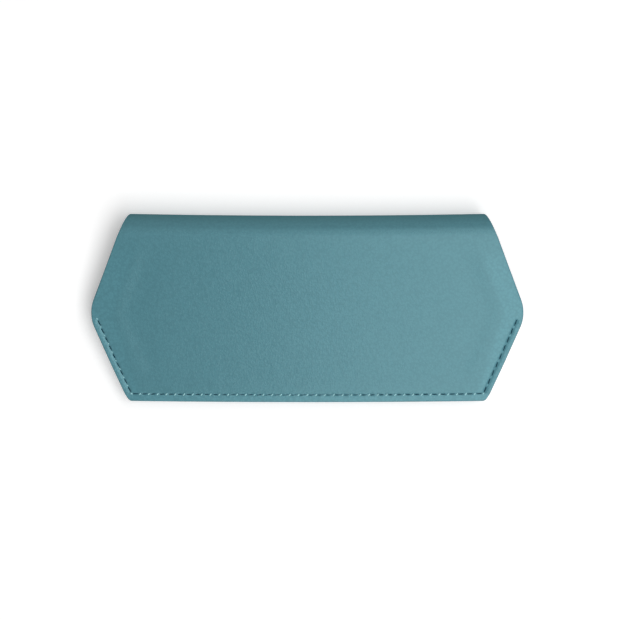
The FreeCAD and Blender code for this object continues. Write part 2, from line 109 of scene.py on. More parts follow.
def smooth_step(value: Array, low: Array | float, high: Array | float) -> Array:
    """Ease from 0 at `low` to 1 at `high`, whichever of them is larger."""
    t = np.clip((value - low) / (high - low), 0.0, 1.0)
    return t * t * (3.0 - 2.0 * t)


def bell(value: Array, centre: float, width: float) -> Array:
    """Bell curve of height 1 about a centre."""
    return np.exp(-(((value - centre) / width) ** 2))


def ramp(value: Array, low: float, high: float) -> Array:
    """Height of a slope that starts level at `low` and climbs 1 for 1 past `high`."""
    t = np.clip((value - low) / (high - low), 0.0, 1.0)
    return (high - low) * t * t / 2 + np.maximum(value - high, 0.0)


def leg_distance(x: Array, y: Array, start: Array, end: Array) -> tuple[Array, Array]:
    """Measure points against one straight leg.

    Args:
        x: places along the fold.
        y: heights.
        start: start of the leg.
        end: end of the leg.

    Returns:
        Distance of each point from the leg, and the share of the leg beside it.
    """
    step = end - start
    px, py = x - start[0], y - start[1]
    t = np.clip((px * step[0] + py * step[1]) / (step @ step), 0.0, 1.0)
    return np.hypot(px - t * step[0], py - t * step[1]), t


class Body(Enum):
    """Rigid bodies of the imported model."""

    BACK = "back"
    SPINE = "spine"
    FLAP = "flap"


class Side(Enum):
    """Which way the case runs from the middle of its fold."""

    FLAP = 1
    BACK = -1


@dataclass(frozen=True)
class CaseSection:
    """Side profile of the case: back, rolled fold and leaning flap.

    A place is a `run`, measured along the outside of the hide from the middle
    of the fold, and a `depth` under that outside.  The run is positive over
    the flap and negative over the back.
    """

    fold_y: float
    radius: float
    tilt: float = math.radians(7.5)

    @classmethod
    def from_frame(cls) -> "CaseSection":
        """Read the fold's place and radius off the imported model."""
        low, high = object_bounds()
        return cls(fold_y=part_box("back_leather")[1][1], radius=(high.z - low.z) / 2)

    @property
    def half_turn(self) -> float:
        """Angle from either end of the roll to its middle."""
        return (math.pi + self.tilt) / 2

    @property
    def half_roll(self) -> float:
        """Run from the middle of the fold to where the roll ends."""
        return self.radius * self.half_turn

    @property
    def flap_y(self) -> float:
        """Height where the roll passes into the flap."""
        return self.fold_y - self.radius * math.sin(self.tilt)

    def place(self, run: Array, depth: Array) -> tuple[Array, Array]:
        """Find the place of points given along the section.

        Args:
            run: run of each point.
            depth: depth of each point under the outside.

        Returns:
            The points' y and z.
        """
        straight = np.maximum(np.abs(run) - self.half_roll, 0.0)
        angle = np.clip(self.half_turn + run / self.radius, 0.0, 2 * self.half_turn)
        reach = self.radius - depth
        over_flap = run > 0
        y = self.fold_y + reach * np.sin(angle) + np.where(
            over_flap, straight * np.cos(angle), -straight)
        z = self.radius - reach * np.cos(angle) + np.where(
            over_flap, straight * np.sin(angle), 0.0)
        return y, z

    def run_at(self, y: Array, side: Side) -> Array:
        """Find the run of a height on the flat part of one side.

        Args:
            y: height of the place, below the roll.
            side: flap or back.

        Returns:
            The run.
        """
        if side is Side.FLAP:
            return self.half_roll + (self.flap_y - y) / math.cos(self.tilt)
        return -(self.half_roll + self.fold_y - y)


@dataclass(frozen=True)
class CaseOutline:
    """Hexagon that back and flap are cut to, seen from above."""

    foot_y: float
    fold_y: float
    vertex_half: float = 87.7 * MM
    vertex_y: float = -2.35 * MM
    foot_half: float = 72.2 * MM
    fold_half: float = 75.3 * MM
    crown_half: float = 71.3 * MM
    crown_power: float = 1.35
    flap_drop: float = 1.11 * MM
    vertex_round: float = 14.5 * MM
    corner_rise: float = 3.0 * MM
    corner_run: float = 0.6 * MM
    corner_round: float = 2.0 * MM
    past_fold: float = 10.0 * MM
    arc_steps: int = 14

    @classmethod
    def from_frame(cls) -> "CaseOutline":
        """Read the foot's and the fold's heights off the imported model."""
        low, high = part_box("back_leather")
        return cls(foot_y=low[1], fold_y=high[1])

    @property
    def lower_slant(self) -> Array:
        """Direction of the lower slant, up from the foot's corner."""
        step = np.array([self.vertex_half - self.foot_half,
                         self.vertex_y - self.foot_y])
        return step / np.linalg.norm(step)

    @property
    def upper_slant(self) -> float:
        """Gain in half width for each unit of height lost above the vertices."""
        return (self.vertex_half - self.fold_half) / (self.fold_y - self.vertex_y)

    def rounded(self, before: Array, corner: Array, after: Array,
                radius: float) -> Array:
        """Round one corner.

        Args:
            before: point before the corner.
            corner: the sharp corner.
            after: point after it.
            radius: radius of the arc.

        Returns:
            Points along the arc.
        """
        back = (before - corner) / np.linalg.norm(before - corner)
        ahead = (after - corner) / np.linalg.norm(after - corner)
        half = math.acos(float(np.clip(back @ ahead, -1, 1))) / 2
        inward = (back + ahead) / np.linalg.norm(back + ahead)
        centre = corner + inward * radius / math.sin(half)
        start = corner + back * radius / math.tan(half) - centre
        end = corner + ahead * radius / math.tan(half) - centre
        turn = math.atan2(start[0] * end[1] - start[1] * end[0], start @ end)
        angles = np.linspace(0.0, turn, self.arc_steps)[:, None]
        square = np.array([-start[1], start[0]])
        return centre + start * np.cos(angles) + square * np.sin(angles)

    def right_side(self) -> Array:
        """Draw the right half of the outline.

        Returns:
            Its points, from above the fold down to the foot's middle.
        """
        slant = self.lower_slant[0] / self.lower_slant[1]
        top = np.array([self.fold_half - self.upper_slant * self.past_fold,
                        self.fold_y + self.past_fold])
        vertex = np.array([self.vertex_half, self.vertex_y])
        high = np.array([self.foot_half + slant * self.corner_rise,
                         self.foot_y + self.corner_rise])
        low = np.array([self.foot_half - self.corner_run, self.foot_y])
        middle = np.array([0.0, self.foot_y])
        return np.vstack([top, self.rounded(top, vertex, high, self.vertex_round),
                          self.rounded(vertex, high, low, self.corner_round),
                          self.rounded(high, low, middle, self.corner_round),
                          middle])

    def half_at(self, y: Array) -> Array:
        """Half width of the flat outline at each height."""
        side = self.right_side()[:-1][::-1]
        return np.interp(y, side[:, 1], side[:, 0])

    def half_width(self, y: Array, run: Array, half_roll: float) -> Array:
        """Half width of the case, which narrows over the roll to its middle.

        Args:
            y: height of each point.
            run: run of each point, which tells the roll from the flat parts.
            half_roll: run at which the roll ends.

        Returns:
            Half widths.
        """
        share = np.clip(np.abs(run) / half_roll, 0.0, 1.0)
        lean = np.where(run > 0, self.flap_drop * self.upper_slant, 0.0)
        widening = (self.fold_half + lean - self.crown_half) * share ** self.crown_power
        return np.where(share < 1.0, self.crown_half + widening, self.half_at(y))

    def inset(self, x: Array, y: Array) -> Array:
        """Distance of points from the free edges of the outline."""
        legs = zip(self.right_side()[:-1], self.right_side()[1:])
        return np.min([leg_distance(np.abs(x), y, *leg)[0] for leg in legs], axis=0)


@dataclass(frozen=True)
class Settling:
    """Small unevenness of the sewn case, the same for every layer of it."""

    fold_pull: float = 0.75 * MM
    foot_rise: float = 0.5 * MM
    fold_range: Range = (24.0 * MM, 36.0 * MM)
    foot_range: Range = (-20.0 * MM, -36.0 * MM)
    half: float = 72.0 * MM

    def move(self, x: Array, y: Array) -> Array:
        """Shift heights: the fold bows in at its middle, the foot at its ends.

        Args:
            x: place along the fold.
            y: height before the shift.

        Returns:
            Heights after it.
        """
        outward = np.clip(np.abs(x) / self.half, 0.0, 1.0) ** 2
        fold = smooth_step(y, *self.fold_range) * (1.0 - outward)
        foot = smooth_step(y, *self.foot_range) * outward
        return y - self.fold_pull * fold + self.foot_rise * foot


@dataclass(frozen=True)
class SeamLine:
    """Seam along both lower slants and the foot."""

    top_y: float = -4.3 * MM
    foot_inset: float = 3.0 * MM
    side_inset: float = 2.5 * MM
    pitch: float = 3.66 * MM
    bed_depth: float = 0.28 * MM
    bed_width: float = 0.42 * MM
    hole_range: Range = (0.34, 0.46)
    hole_rise: float = 1.25
    sink: float = 0.33 * MM
    stitch_sizes: tuple[float, ...] = (1.17, 1.0, 1.06)
    lip_sizes: tuple[float, ...] = (0.0, 1.0, 0.8)

    def legs(self, outline: CaseOutline) -> list[tuple[Array, Array, int]]:
        """Lay out the seam from its right end round to its left end.

        Args:
            outline: outline that the seam follows.

        Returns:
            Start, end and number of stitches of each leg.
        """
        along = outline.lower_slant
        heights = np.array([self.top_y, outline.foot_y + self.foot_inset])
        widths = (outline.foot_half + (heights - outline.foot_y) * along[0] / along[1]
                  - self.side_inset / along[1])
        right = np.stack([widths, heights], axis=1)
        corners = np.vstack([right, right[::-1] * np.array([-1.0, 1.0])])
        return [(start, end, round(float(np.linalg.norm(end - start)) / self.pitch))
                for start, end in zip(corners[:-1], corners[1:])]

    def bed(self, at: Places, outline: CaseOutline) -> Array:
        """Depth of the bed that the stitches press into the leather.

        Args:
            at: points of the leather.
            outline: outline that the seam follows.

        Returns:
            Depths, which fall below 0 where the leather stands up at a hole.
        """
        best = np.full(at.x.shape, np.inf)
        phase = np.zeros(at.x.shape)
        for start, end, count in self.legs(outline):
            distance, share = leg_distance(at.x, at.y, start, end)
            phase = np.where(distance < best, (share * count) % 1.0, phase)
            best = np.minimum(best, distance)
        held = smooth_step(np.abs(phase - 0.5), *self.hole_range)
        pressed = self.bed_depth * (1.0 - self.hole_rise * held)
        return pressed * bell(best, 0.0, self.bed_width)


@dataclass(frozen=True)
class CasePlan:
    """Shared sizes of the case: section, outline, seam and layers."""

    section: CaseSection
    outline: CaseOutline
    hide: float
    board: float
    lining: float
    seam: SeamLine = SeamLine()
    settling: Settling = Settling()
    margin_side: float = 9.5 * MM
    margin_foot: float = 7.0 * MM
    margin_fold: float = 6.0 * MM
    seam_flat: float = 4.0 * MM
    narrowing: float = 3.0 * MM
    narrow_range: Range = (-5.0 * MM, -36.0 * MM)
    # Where the margins are painted lighter: painted light for the light on the sloping
    # leather beside the board and below the seam.
    painted_light_ease: float = 3.0 * MM
    pale_below_fold: Range = (2.0 * MM, 14.0 * MM)
    painted_light_above_foot: Range = (2.6 * MM, 5.0 * MM)
    painted_light_foot: Range = (3.2 * MM, 2.6 * MM)
    under_share: float = 0.55

    @classmethod
    def from_frame(cls) -> "CasePlan":
        """Read the layers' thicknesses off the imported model."""
        board_low, board_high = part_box("back_board")
        return cls(section=CaseSection.from_frame(), outline=CaseOutline.from_frame(),
                   hide=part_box("back_leather")[1][2],
                   board=board_high[2] - board_low[2],
                   lining=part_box("back_lining")[1][2] - board_high[2])

    def side_inset(self, at: Places) -> Array:
        """Distance of points from the slanting sides, measured along X."""
        return self.outline.half_at(at.y) - np.abs(at.x)

    def side_reach(self, at: Places) -> Array:
        """Distance of points from the slanting sides, square to them."""
        return self.side_inset(at) * self.outline.lower_slant[1]

    def below_flap_top(self, y: Array, low: float, high: float) -> Array:
        """Ease in between two distances below the top of the flap."""
        return smooth_step(self.section.flap_y - y, low, high)

    def over_board(self, at: Places) -> Array:
        """Share of a board's thickness that a layer stands off by.

        Args:
            at: points of the layer.

        Returns:
            0 on the flat rim, 1 over the board.
        """
        foot = smooth_step(at.y - self.outline.foot_y, self.seam_flat, self.margin_foot)
        sides = smooth_step(self.side_inset(at), self.seam_flat, self.margin_side)
        return sides * foot * self.below_flap_top(at.y, self.margin_fold / 3,
                                                  self.margin_fold)

    def board_reach(self, y: Array) -> Array:
        """Distance from the sides to the board's edge, less towards the foot."""
        return self.margin_side - self.narrowing * smooth_step(y, *self.narrow_range)

    def painted_light_share(self, at: Places) -> Array:
        """How far points lie in the margin that is painted lighter, as painted light on
        its slopes.

        Args:
            at: points of a layer.

        Returns:
            1 beside the board and below the seam, 0 elsewhere.
        """
        low = at.y - self.outline.foot_y
        beside = smooth_step(self.board_reach(at.y) - self.side_reach(at), 0.0,
                             self.painted_light_ease)
        beside *= smooth_step(low, *self.painted_light_above_foot)
        beside *= self.below_flap_top(at.y, *self.pale_below_fold)
        return np.maximum(beside, smooth_step(low, *self.painted_light_foot))


# ---------------------------------------------------------------- meshes

@dataclass(frozen=True)
class SheetSpacing:
    """Spacing of a sheet's rows and columns."""

    middle: float = 0.732 * MM
    middle_width: float = 120.0 * MM
    fine: float = 0.45 * MM
    coarse: float = 1.0 * MM
    roll: float = 0.4 * MM
    first: float = 0.04 * MM
    least: float = 0.1 * MM
    mouth: float = 4.0 * MM
    edge: tuple[float, ...] = (0.0, 0.03, 0.09, 0.18, 0.3, 0.45, 0.7, 1.0, 1.35, 1.7,
                               2.05, 2.35, 2.6, 2.8, 3.0, 3.2, 3.45, 3.75, 4.1, 4.6,
                               5.2, 5.9, 6.6, 7.3, 8.0, 8.7, 9.4, 10.1, 10.9, 11.8,
                               12.8, 13.9)

    def edge_insets(self) -> Array:
        """Insets of the columns and rows beside a free edge."""
        return np.array(self.edge) * MM


@dataclass(frozen=True)
class Sheet:
    """One layer of the case as a closed mesh with rounded free edges."""

    name: str
    plan: CasePlan
    side: Side
    top: float
    foot: float
    outside: DepthField
    inside: DepthField
    round_off: float = 0.45 * MM
    rim_share: float = 0.47
    trim: float = 0.0
    free_top: bool = False
    spacing: SheetSpacing = SheetSpacing()

    def rows(self) -> Array:
        """Space the sheet's rows.

        Returns:
            Their runs, from the top end to the free foot.
        """
        spacing, section = self.spacing, self.plan.section
        edge = spacing.edge_insets()
        top, foot = abs(self.top), abs(self.foot)
        fine_from = abs(section.run_at(self.plan.outline.vertex_y, self.side))
        if top < section.half_roll:
            roll = np.arange(top + spacing.roll, section.half_roll, spacing.roll)
            runs = [top, top + spacing.first, *roll, section.half_roll]
        elif self.free_top:
            runs = list(top + edge[edge < spacing.mouth])
        else:
            runs = [top]
        stop = foot - edge[-1]
        while runs[-1] < stop:
            step = spacing.fine if runs[-1] > fine_from else spacing.coarse
            runs.append(runs[-1] + step)
        runs = [run for run in runs if run < stop - spacing.least]
        return self.side.value * np.array([*runs, *(foot - edge[::-1])])

    def halves(self, rows: Array) -> tuple[Array, Array]:
        """Height and half width of the outline at each row."""
        y, _ = self.plan.section.place(rows, np.zeros_like(rows))
        return y, self.plan.outline.half_width(y, rows, self.plan.section.half_roll)

    def columns(self, half: float) -> Array:
        """Space the points of one row along X.

        Args:
            half: half width of the row.

        Returns:
            Places from the left edge to the right one.
        """
        edge = self.spacing.edge_insets()
        reach = half - edge[-1]
        count = 2 * round(self.spacing.middle_width / 2 / self.spacing.middle)
        middle = np.linspace(-reach, reach, count + 1)
        return np.concatenate([edge[:-1] - half, middle, half - edge[:-1][::-1]])

    def build(self) -> Piece:
        """Make the sheet, with its flat pattern as UV map.

        Returns:
            The mesh object.
        """
        plan = self.plan
        rows = self.rows()
        heights, halves = self.halves(rows)
        x = np.stack([self.columns(half - self.trim) for half in halves])
        run, y = (values[:, None] * np.ones_like(x) for values in (rows, heights))
        at = Places(x, y, np.minimum(plan.outline.inset(x, y),
                                     halves[:, None] - np.abs(x)))
        lip = np.maximum(at.inset - self.trim, 0.0)
        if self.free_top:
            lip = np.minimum(lip, np.abs(run) - abs(self.top))
        fall = np.clip(self.round_off - lip, 0.0, self.round_off)
        rounding = self.round_off - np.sqrt(self.round_off ** 2 - fall ** 2)
        low, high = self.outside(at), self.inside(at)
        rim = np.sign(high - low) * np.minimum(rounding,
                                               self.rim_share * np.abs(high - low))
        points = []
        for depth in (low + rim, high - rim):
            place_y, place_z = plan.section.place(run, depth)
            points.append(np.stack([x, plan.settling.move(x, place_y), place_z],
                                   axis=-1).reshape(-1, 3))
        flat = np.stack([x, run], axis=-1).reshape(-1, 2) / UV_UNIT
        # The margin value says where the leather is painted lighter, as painted light on
        # its slopes.
        values = {"lip": lip / MM, "margin": plan.painted_light_share(at)}
        return self.closed_mesh(np.vstack(points), x.shape, np.vstack([flat, flat]),
                                values)

    def flat_cut(self) -> tuple[tuple[float, float], float]:
        """Measure the cloth that the sheet is cut from.

        Returns:
            Its largest width and its length, and its area.
        """
        rows = self.rows()
        widths = 2 * (self.halves(rows)[1] - self.trim)
        area = float(np.sum((widths[1:] + widths[:-1]) / 2 * np.abs(np.diff(rows))))
        return (float(widths.max()), float(abs(rows[-1] - rows[0]))), area

    def closed_mesh(self, points: Array, shape: tuple[int, int], flat: Array,
                    values: dict[str, Array]) -> Piece:
        """Join two grids of points into one closed mesh.

        Args:
            points: places of the outer grid, then of the inner one.
            shape: rows and columns of each grid.
            flat: flat pattern coordinates of each point.
            values: named values of the points of one grid, for the finishes.

        Returns:
            The mesh object.
        """
        count = shape[0] * shape[1]
        index = np.arange(count).reshape(shape)
        quads = np.stack([index[:-1, :-1], index[:-1, 1:], index[1:, 1:],
                          index[1:, :-1]], axis=-1).reshape(-1, 4)
        rim = np.concatenate([index[0, :], index[1:, -1], index[-1, -2::-1],
                              index[-2:0:-1, 0]])
        after = np.roll(rim, -1)
        wall = np.stack([after, rim, rim + count, after + count], axis=-1)
        faces = np.vstack([quads, quads[:, ::-1] + count, wall])
        mesh = bpy.data.meshes.new(self.name)
        mesh.from_pydata(points.tolist(), [], faces.tolist())
        corner_points = np.empty(len(mesh.loops), dtype=np.int32)
        mesh.loops.foreach_get("vertex_index", corner_points)
        uv = mesh.uv_layers.new(name="UVMap")
        uv.data.foreach_set("uv", flat[corner_points].astype(np.float32).ravel())
        for name, value in values.items():
            made = mesh.attributes.new(name, "FLOAT", "POINT")
            made.data.foreach_set("value", np.tile(value.ravel(), 2).astype(np.float32))
        return finish_mesh(self.name, mesh)


def finish_mesh(name: str, mesh: bpy.types.Mesh,
                sharp: float = math.radians(50)) -> Piece:
    """Turn a mesh's faces outward, smooth it and link its object.

    Args:
        name: name of the object.
        mesh: the mesh.
        sharp: angle from which an edge stays sharp.

    Returns:
        The object, at the origin.
    """
    work = bmesh.new()
    work.from_mesh(mesh)
    bmesh.ops.recalc_face_normals(work, faces=work.faces)
    if work.calc_volume(signed=True) < 0.0:
        bmesh.ops.reverse_faces(work, faces=work.faces)
    work.to_mesh(mesh)
    work.free()
    mesh.shade_smooth()
    mesh.set_sharp_from_angle(angle=sharp)
    return linked(name, mesh)


def linked(name: str, data: bpy.types.ID) -> Piece:
    """Put some data in the scene.

    Args:
        name: name of the object.
        data: mesh, lamp or camera.

    Returns:
        Its new object.
    """
    made = bpy.data.objects.new(name, data)
    bpy.context.scene.collection.objects.link(made)
    return made


# ---------------------------------------------------------------- finishes

class Nodes:
    """Small helper that lays out the nodes of one tree."""

    def __init__(self, tree: bpy.types.NodeTree) -> None:
        """Take up a node tree."""
        self.tree = tree

    def feed(self, sockets: Sockets, values: Values) -> None:
        """Set sockets, each from another node's socket or to a plain value.

        Args:
            sockets: sockets of one node.
            values: what each of them gets; a plain colour has no alpha.
        """
        for key, value in values.items():
            if isinstance(value, bpy.types.NodeSocket):
                self.tree.links.new(value, sockets[key])
            elif sockets[key].type == "RGBA":
                sockets[key].default_value = (*value, 1.0)
            else:
                sockets[key].default_value = value

    def node(self, kind: str, inputs: Values | None = None,
             **settings: object) -> Sockets:
        """Add a node.

        Args:
            kind: type of the node.
            inputs: what its sockets get.
            settings: its properties, set before the sockets.

        Returns:
            The sockets that it gives.
        """
        made = self.tree.nodes.new(kind)
        for key, value in settings.items():
            setattr(made, key, value)
        self.feed(made.inputs, inputs or {})
        return made.outputs


class Shader(Nodes):
    """Nodes of one material about a Principled shader."""

    def __init__(self, name: str) -> None:
        """Start a material.

        Args:
            name: its name.
        """
        self.material = bpy.data.materials.new(name)
        self.material.use_nodes = True
        super().__init__(self.material.node_tree)

    def settle(self, values: Values) -> None:
        """Set the shader's own sockets."""
        self.feed(self.tree.nodes["Principled BSDF"].inputs, values)

    def coordinates(self, flat: bool = True) -> Socket:
        """Flat pattern coordinates, or the object's own."""
        return self.node("ShaderNodeTexCoord")["UV" if flat else "Object"]

    def attribute(self, name: str) -> Socket:
        """Value that the mesh's points carry under a name."""
        return self.node("ShaderNodeAttribute", attribute_name=name)["Fac"]

    def noise(self, where: Socket, scale: float, detail: float = 3.0,
              roughness: float = 0.5) -> Socket:
        """Noise of one scale, as a factor."""
        return self.node("ShaderNodeTexNoise", {
            "Vector": where, "Scale": scale, "Detail": detail,
            "Roughness": roughness})["Fac"]

    def cells(self, where: Socket, scale: float) -> Socket:
        """Distance within the cells of a Voronoi pattern."""
        return self.node("ShaderNodeTexVoronoi", {
            "Vector": where, "Scale": scale})["Distance"]

    def remap(self, value: Socket, low: float, high: float, to_low: float,
              to_high: float) -> Socket:
        """Stretch the values from `low` to `high` to another range."""
        return self.node("ShaderNodeMapRange", {
            "Value": value, "From Min": low, "From Max": high, "To Min": to_low,
            "To Max": to_high})["Result"]

    def math(self, operation: str, first: Socket, second: Socket | float) -> Socket:
        """Combine a socket's value with another socket's or a plain one."""
        return self.node("ShaderNodeMath", {0: first, 1: second},
                         operation=operation)[0]

    def blend(self, share: Socket, first: Socket | Colour,
              second: Socket | Colour) -> Socket:
        """Mix two colours, each a socket or a plain colour."""
        return self.node("ShaderNodeMix", {0: share, 6: first, 7: second},
                         data_type="RGBA")[2]

    def bump(self, height: Socket, depth: float, **below: Socket) -> Socket:
        """Raise a height field, over another bump given as `Normal`."""
        return self.node("ShaderNodeBump", {
            "Height": height, "Distance": depth, **below})["Normal"]


@dataclass(frozen=True)
class Dressing:
    """Material of a piece and the record's slot that it belongs to."""

    material: bpy.types.Material
    slot: str

    def put_on(self, piece: Piece) -> Piece:
        """Dress a piece.

        Args:
            piece: new piece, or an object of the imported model.

        Returns:
            The same piece.
        """
        if not piece.data.materials:
            piece.data.materials.append(self.material)
        for each in piece.material_slots:
            each.material = self.material
        return piece


@dataclass(frozen=True)
class Finish:
    """What every finish has: its name, its slot of the record and its colour."""

    name: str
    slot: str
    colour: Colour

    def tinted(self, share: float) -> Colour:
        """The colour, darker or lighter."""
        return tuple(share * channel for channel in self.colour)

    def paint(self, shader: Shader) -> None:
        """Lay out the nodes; each finish has its own."""
        raise NotImplementedError

    def build(self) -> Dressing:
        """Make the material.

        Returns:
            The material, with its slot.
        """
        shader = Shader(self.name)
        self.paint(shader)
        return Dressing(shader.material, self.slot)


@dataclass(frozen=True)
class LeatherFinish(Finish):
    """Smooth dyed leather: fine grain, margins painted lighter and a fold painted darker,
    as painted light and shade, and darker cut edges.

    Grain scales are shares of `grain`; a range along the hide is in
    millimetres from the middle of the fold or from the edge.
    """

    edge_colour: Colour
    roughness: float = 0.15
    rough_range: Range = (-0.04, 0.05)
    specular: float = 0.72
    gloss_tint: Colour = (0.59, 0.95, 1.0)
    grain: float = 190.0
    grain_depth: float = 0.02 * MM
    small_scale: float = 2.3
    small_share: float = 0.5
    pebble_scale: float = 0.52
    pebble_share: float = 0.9
    pore_scale: float = 1.7
    pore_share: float = 0.6
    cloud_scale: float = 12.0
    cloud_depth: float = 0.03 * MM
    cloud_tints: Range = (0.99, 1.01)
    # Painted light: the margins are painted lighter by this share, for the light on their
    # slopes.
    painted_light_tint: float = 1.14
    crease_tint: float = 0.7
    crease_range: Range = (0.3, 0.75)
    crease_share: float = 0.3
    # Painted shade: the roll of the fold is painted darker, with its red taken out, for
    # the shade and the dark reflection on it.
    fold_tint: float = 0.54
    fold_range: Range = (2.0, 8.0)
    fold_share: float = 0.85
    matt_range: Range = (3.0, 14.5)
    matt: float = 0.5
    edge_range: Range = (0.05, 0.3)
    edge_share: float = 0.8

    def paint(self, shader: Shader) -> None:
        """Lay out the leather's nodes.

        Args:
            shader: material to paint.
        """
        flat = shader.coordinates()
        cells = shader.cells(flat, self.grain)
        small = shader.cells(flat, self.grain * self.small_scale)
        pebbles = shader.cells(flat, self.grain * self.pebble_scale)
        pores = shader.noise(flat, self.grain * self.pore_scale, 2.0)
        cloud = shader.noise(flat, self.cloud_scale, 4.0)
        height = cells
        for part, share in ((small, self.small_share), (pebbles, self.pebble_share),
                            (pores, self.pore_share)):
            height = shader.math("ADD", height, shader.math("MULTIPLY", part, share))
        along = shader.node("ShaderNodeSeparateXYZ", {0: flat})[1]
        run = shader.math("MULTIPLY", along, UV_UNIT / MM)
        from_fold = shader.math("ABSOLUTE", run, 0.0)
        clouds = shader.remap(cloud, *NOISE_CORE, 0.0, 1.0)
        creases = shader.remap(pebbles, *self.crease_range, 0.0, self.crease_share)
        # Painted shade over the roll at the fold.
        painted_fold_shade = shader.remap(from_fold, *self.fold_range, self.fold_share, 0.0)
        at_edge = shader.remap(shader.attribute("lip"), *self.edge_range,
                               self.edge_share, 0.0)
        dark, light = (self.tinted(share) for share in self.cloud_tints)
        colour = shader.blend(clouds, dark, light)
        # Blend in the painted light of the margins, the darker creases of the grain, the
        # painted shade of the fold's roll and the dark cut edges.
        margin = shader.attribute("margin")
        for share, other in ((margin, self.tinted(self.painted_light_tint)),
                             (creases, self.tinted(self.crease_tint)),
                             (painted_fold_shade, (0.0, *self.tinted(self.fold_tint)[1:])),
                             (at_edge, self.edge_colour)):
            colour = shader.blend(share, colour, other)
        rough = shader.remap(pores, *NOISE_SPAN,
                             *(self.roughness + step for step in self.rough_range))
        matt = shader.remap(from_fold, *self.matt_range, self.matt, 0.0)
        fine = shader.bump(height, self.grain_depth)
        shader.settle({
            "Base Color": colour,
            "Roughness": shader.math("ADD", rough, matt),
            "Specular IOR Level": self.specular,
            "Specular Tint": self.gloss_tint,
            "Normal": shader.bump(cloud, self.cloud_depth, Normal=fine),
        })


@dataclass(frozen=True)
class NapFinish(Finish):
    """Brushed microfibre lining."""

    nap_scale: float = 420.0
    nap_depth: float = 0.08 * MM
    brushed_scale: float = 26.0
    tints: Range = (0.8, 1.22)

    def paint(self, shader: Shader) -> None:
        """Lay out the nap's nodes.

        Args:
            shader: material to paint.
        """
        flat = shader.coordinates()
        nap = shader.noise(flat, self.nap_scale, 3.0, 0.7)
        brushed = shader.noise(flat, self.brushed_scale, 5.0, 0.6)
        dark, light = (self.tinted(share) for share in self.tints)
        worn = shader.blend(shader.remap(brushed, *NOISE_CORE, 0.0, 1.0), dark, light)
        shader.settle({
            "Base Color": shader.blend(shader.remap(nap, *NOISE_SPAN, 0.0, 0.5), worn,
                                       self.colour),
            "Roughness": 0.95,
            "Sheen Weight": 0.35,
            "Sheen Roughness": 0.5,
            "Specular IOR Level": 0.2,
            "Normal": shader.bump(nap, self.nap_depth),
        })


@dataclass(frozen=True)
class ThreadFinish(Finish):
    """Waxed sewing thread with the twist of its plies."""

    twist_scale: float = 1.6
    twist_depth: float = 0.05 * MM
    ply_tint: float = 1.5

    def paint(self, shader: Shader) -> None:
        """Lay out the thread's nodes.

        Args:
            shader: material to paint.
        """
        plies = shader.node("ShaderNodeTexWave", {
            "Vector": shader.coordinates(), "Scale": self.twist_scale},
            bands_direction="DIAGONAL")["Fac"]
        shader.settle({
            "Base Color": shader.blend(plies, self.colour, self.tinted(self.ply_tint)),
            "Roughness": 0.6,
            "Specular IOR Level": 0.25,
            "Normal": shader.bump(plies, self.twist_depth),
        })


@dataclass(frozen=True)
class BoardFinish(Finish):
    """Pressed fibreboard with flecks."""

    fleck_scale: float = 900.0
    fleck_depth: float = 0.05 * MM
    fleck_tint: float = 0.7

    def paint(self, shader: Shader) -> None:
        """Lay out the board's nodes.

        Args:
            shader: material to paint.
        """
        flecks = shader.noise(shader.coordinates(flat=False), self.fleck_scale, 4.0,
                              0.7)
        shader.settle({
            "Base Color": shader.blend(flecks, self.tinted(self.fleck_tint),
                                       self.colour),
            "Roughness": 0.85,
            "Normal": shader.bump(flecks, self.fleck_depth),
        })


@dataclass(frozen=True)
class MagnetFinish(Finish):
    """Nickel plating with fine turning marks."""

    mark_scale: float = 1500.0
    rough_range: Range = (0.2, 0.34)

    def paint(self, shader: Shader) -> None:
        """Lay out the plating's nodes.

        Args:
            shader: material to paint.
        """
        marks = shader.noise(shader.coordinates(flat=False), self.mark_scale, 2.0)
        shader.settle({
            "Base Color": self.colour,
            "Metallic": 1.0,
            "Roughness": shader.remap(marks, *NOISE_SPAN, *self.rough_range),
        })


class Finishes:
    """Every finish of the case, made once."""

    def __init__(self) -> None:
        """Build the materials."""
        self.hide = LeatherFinish("outer_leather", "outer_leather",
                                  (0.104, 0.278, 0.33), (0.07, 0.2, 0.24)).build()
        # Much lighter copy of the hide for the ridges at the needle holes: a painted
        # highlight for the lamp's glint on them.
        self.painted_highlight = LeatherFinish("painted_highlight_leather", "outer_leather",
                                       (0.42, 0.76, 0.8), (0.42, 0.76, 0.8),
                                       roughness=0.3).build()
        self.facing = LeatherFinish("inner_leather", "inner_leather",
                                    (0.088, 0.225, 0.265), (0.045, 0.13, 0.16),
                                    roughness=0.5, grain=240.0,
                                    grain_depth=0.04 * MM, specular=0.4).build()
        self.nap = NapFinish("lining", "lining", (0.13, 0.17, 0.18)).build()
        self.thread = ThreadFinish("thread", "thread", (0.003, 0.045, 0.07)).build()
        self.board = BoardFinish("board", "board", (0.5, 0.44, 0.36)).build()
        self.magnet = MagnetFinish("magnet", "magnet", (0.6, 0.6, 0.62)).build()


# ---------------------------------------------------------------- stitches

